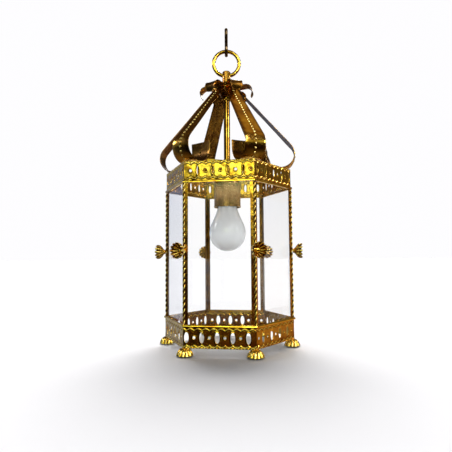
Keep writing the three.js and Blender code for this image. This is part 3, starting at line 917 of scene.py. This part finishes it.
# ------------------------------------------------------------------ floor, light and camera
FLOOR_DROP = 1.5              # from the feet down to the floor, millimetres
FLOOR_REACH = 60              # metres
BOX_AIM = (0, 0, -0.3)        # the point that the boxes face, metres
BOX_DISTANCE = 2              # metres from that point
# light boxes: azimuth, elevation, width, height (metres), watts
BOXES = ((-50, 40, 0.4, 0.8, 14), (-128, 36, 0.24, 0.3, 4), (-60, 20, 0.25, 0.4, 8),
         (-14, 20, 0.25, 0.3, 6), (20, 34, 0.24, 0.3, 8), (92, 34, 0.24, 0.3, 8), (178, 30, 0.24, 0.3, 8))


def make_floor():
    """A wide pale floor just under the feet."""
    floor_mesh = bpy.data.meshes.new("floor")
    level = (foot_low[2] - FLOOR_DROP) / 1000
    reach = FLOOR_REACH
    floor_mesh.from_pydata([(-reach, -reach, level), (reach, -reach, level), (reach, reach, level),
                            (-reach, reach, level)], [], [(0, 1, 2, 3)])
    floor = bpy.data.objects.new("floor", floor_mesh)
    bpy.context.scene.collection.objects.link(floor)
    material, nodes, links, shader = new_material("floor_paint")
    place = nodes.new("ShaderNodeTexCoord").outputs["Object"]
    tone = ramp(nodes, [(0.3, (0.90, 0.89, 0.905)), (0.7, (0.93, 0.92, 0.935))])
    links.new(noise(nodes, links, place, 3), tone.inputs["Fac"])
    links.new(tone.outputs["Color"], shader.inputs["Base Color"])
    shader.inputs["Roughness"].default_value = 1.0
    shader.inputs["Specular IOR Level"].default_value = 0.0
    floor_mesh.materials.append(material)
    floor.visible_glossy = False


def make_lights():
    """A broad soft sun from behind and above, and boxes that light no matt surface."""
    sun = bpy.data.lights.new("key", "SUN")
    sun.energy = 3.5
    sun.angle = math.radians(50)
    sun_object = bpy.data.objects.new("key", sun)
    sun_object.rotation_euler = (math.radians(-36), 0, math.radians(8))
    sun_object.visible_glossy = False
    sun_object.visible_transmission = False
    bpy.context.scene.collection.objects.link(sun_object)
    for azimuth, elevation, wide, high, energy in BOXES:
        box = bpy.data.lights.new("box", "AREA")
        box.shape = "RECTANGLE"
        box.size = wide
        box.size_y = high
        box.energy = energy
        box_object = bpy.data.objects.new("box", box)
        around = Matrix.Rotation(math.radians(azimuth), 3, "Z")
        turn = around @ Matrix.Rotation(math.radians(-elevation), 3, "Y")
        away = turn @ Vector((BOX_DISTANCE, 0, 0))
        box_object.location = away + Vector(BOX_AIM)
        box_object.rotation_euler = away.to_track_quat("Z", "Y").to_euler()
        box_object.visible_diffuse = False
        bpy.context.scene.collection.objects.link(box_object)


def make_world():
    """White to the eye, and a made-up room to whatever mirrors it."""
    world = bpy.data.worlds.new("studio")
    bpy.context.scene.world = world
    world.use_nodes = True
    nodes, links = world.node_tree.nodes, world.node_tree.links
    nodes.clear()
    output = nodes.new("ShaderNodeOutputWorld")
    ray = nodes.new("ShaderNodeLightPath")
    place = nodes.new("ShaderNodeTexCoord").outputs["Generated"]
    split = nodes.new("ShaderNodeSeparateXYZ")
    links.new(place, split.inputs["Vector"])

    def math_node(operation, a, b, c=None):
        """A Math node's value; each operand is a number or a socket."""
        node = nodes.new("ShaderNodeMath")
        node.operation = operation
        for socket, value in zip(node.inputs, (a, b, c)):
            if value is None:
                continue
            if isinstance(value, (int, float)):
                socket.default_value = value
            else:
                links.new(value, socket)
        return node.outputs["Value"]

    def mixed_colour(fac, a, b):
        """From colour a to colour b."""
        node = nodes.new("ShaderNodeMix")
        node.data_type = "RGBA"
        links.new(fac, node.inputs["Factor"])
        links.new(a, node.inputs["A"])
        links.new(b, node.inputs["B"])
        return node.outputs["Result"]

    clutter = noise(nodes, links, place, 3.0, 2, 0.3)
    level = math_node("MULTIPLY_ADD", split.outputs["Z"], 0.5, 0.5)
    level = math_node("ADD", level, math_node("MULTIPLY_ADD", clutter, 0.10, -0.05))
    front = ramp(nodes, [(0.0, (0.26, 0.20, 0.10)), (0.20, (0.16, 0.10, 0.04)),
                         (0.32, (0.07, 0.03, 0.012)), (0.42, (0.14, 0.055, 0.018)),
                         (0.545, (0.08, 0.035, 0.013)), (0.575, (1.2, 1.2, 0.5)),
                         (0.605, (5.5, 6.6, 2.6)), (0.67, (5.5, 6.6, 3.4)), (0.70, (0.8, 0.7, 0.4)),
                         (0.78, (0.16, 0.08, 0.03)), (1.0, (0.10, 0.05, 0.02))])
    right = ramp(nodes, [(0.0, (0.26, 0.20, 0.10)), (0.20, (0.16, 0.10, 0.05)),
                         (0.34, (0.18, 0.08, 0.03)), (0.42, (0.50, 0.26, 0.09)), (0.48, (0.8, 0.5, 0.2)),
                         (0.56, (0.12, 0.09, 0.04)), (0.64, (0.14, 0.11, 0.05)),
                         (0.70, (0.08, 0.045, 0.02)), (0.86, (0.13, 0.07, 0.03)),
                         (0.95, (0.5, 0.33, 0.08)), (1.0, (0.25, 0.14, 0.05))])
    left = ramp(nodes, [(0.0, (0.26, 0.20, 0.10)), (0.20, (0.16, 0.10, 0.05)), (0.34, (0.2, 0.18, 0.2)),
                        (0.42, (0.42, 0.48, 0.62)), (0.54, (0.28, 0.33, 0.45)), (0.62, (0.26, 0.31, 0.50)),
                        (0.70, (0.08, 0.055, 0.05)), (0.78, (0.05, 0.025, 0.012)),
                        (0.87, (0.05, 0.027, 0.01)), (1.0, (0.1, 0.055, 0.02))])
    for shades in (front, right, left):
        links.new(level, shades.inputs["Fac"])

    def step(value, start, end):
        """0 before start, 1 after end and smooth between."""
        node = nodes.new("ShaderNodeMapRange")
        node.interpolation_type = "SMOOTHSTEP"
        node.inputs["From Min"].default_value = start
        node.inputs["From Max"].default_value = end
        links.new(value, node.inputs["Value"])
        return node.outputs["Result"]

    # the front is bright in two upright bands with dark between them, like a room's windows
    stripes = ramp(nodes, [(0.0, 0.02), (0.30, 0.03), (0.385, 0.2), (0.42, 0.75), (0.45, 1.2),
                           (0.49, 1.1), (0.54, 0.3), (0.72, 0.16), (0.77, 0.5), (0.82, 0.5),
                           (0.87, 0.12), (1.0, 0.1)])
    links.new(math_node("MULTIPLY_ADD", split.outputs["X"], 0.5, 0.5), stripes.inputs["Fac"])
    dimmed = nodes.new("ShaderNodeVectorMath")
    dimmed.operation = "MULTIPLY"
    links.new(front.outputs["Color"], dimmed.inputs[0])
    links.new(stripes.outputs["Color"], dimmed.inputs[1])
    behind = step(split.outputs["Y"], -0.35, 0.25)
    rightward = step(split.outputs["X"], -0.25, 0.25)
    rear = mixed_colour(rightward, left.outputs["Color"], right.outputs["Color"])
    sky = mixed_colour(behind, dimmed.outputs["Vector"], rear)

    def background(colour, strength):
        """A Background node of a colour or a socket."""
        node = nodes.new("ShaderNodeBackground")
        node.inputs["Strength"].default_value = strength
        if isinstance(colour, tuple):
            node.inputs["Color"].default_value = (*colour, 1)
        else:
            links.new(colour, node.inputs["Color"])
        return node

    def mixed(fac, a, b):
        """From shader a to shader b."""
        node = nodes.new("ShaderNodeMixShader")
        links.new(fac, node.inputs["Fac"])
        links.new(a, node.inputs[1])
        links.new(b, node.inputs[2])
        return node.outputs["Shader"]

    soft = background((0.97, 0.985, 1.0), 0.28)
    shiny = background(sky, 1.0)
    through = background((0.99, 0.985, 1.0), 1.09)
    inside = background((0.97, 0.99, 1.0), 1.0)
    steep = step(split.outputs["Z"], 0.35, 0.6)
    inward = math_node("MULTIPLY", math_node("MULTIPLY_ADD", behind, -1.1, 1.4),
                       math_node("MULTIPLY_ADD", steep, -0.92, 1.0))
    links.new(inward, inside.inputs["Strength"])
    white = background((0.99, 0.985, 1.0), 1.0)
    glossy = math_node("MINIMUM", ray.outputs["Glossy Depth"], 1.0)
    diffuse = math_node("MINIMUM", ray.outputs["Diffuse Depth"], 1.0)
    passed = math_node("MULTIPLY", ray.outputs["Is Transmission Ray"], math_node("SUBTRACT", 1.0, glossy))
    dim = background((1.0, 0.95, 0.9), 0.06)
    shown = mixed(glossy, soft.outputs[0], mixed(diffuse, shiny.outputs[0], dim.outputs[0]))
    shown = mixed(passed, shown, mixed(diffuse, through.outputs[0], inside.outputs[0]))
    shown = mixed(ray.outputs["Is Camera Ray"], shown, white.outputs[0])
    links.new(shown, output.inputs["Surface"])
    bpy.context.scene.view_settings.view_transform = "Standard"


CAMERA_TURN = 8.129           # degrees
CAMERA_PAN, CAMERA_TILT, CAMERA_ROLL = -0.2145, 4.2815, -0.4248
CAMERA_DISTANCE = 0.71887     # metres
CAMERA_RISE = 0.12935         # metres above the lower band's bottom edge
SENSOR_WIDTH = 36
LENS = 34.38


def set_camera():
    """A camera in front of the lantern, tilted slightly up."""
    data = bpy.data.cameras.new("camera")
    camera = bpy.data.objects.new("camera", data)
    bpy.context.scene.collection.objects.link(camera)
    pan, tilt, roll = map(math.radians, (CAMERA_PAN, CAMERA_TILT, CAMERA_ROLL))
    forward = Vector((math.sin(pan) * math.cos(tilt), math.cos(pan) * math.cos(tilt), math.sin(tilt)))
    right = forward.cross(Vector((0, 0, 1))).normalized()
    up = right.cross(forward)
    right_rolled = right * math.cos(roll) + up * math.sin(roll)
    up_rolled = up * math.cos(roll) - right * math.sin(roll)
    turn = Matrix.Rotation(math.radians(CAMERA_TURN), 4, "Z")
    matrix = Matrix((right_rolled, up_rolled, -forward)).transposed().to_4x4()
    matrix.translation = Vector((0, -CAMERA_DISTANCE, BASE / 1000 + CAMERA_RISE))
    camera.matrix_world = turn @ matrix
    data.sensor_width = SENSOR_WIDTH
    data.lens = LENS
    data.clip_start = 0.01
    data.clip_end = 200
    bpy.context.scene.camera = camera


make_floor()
make_lights()
make_world()
set_camera()
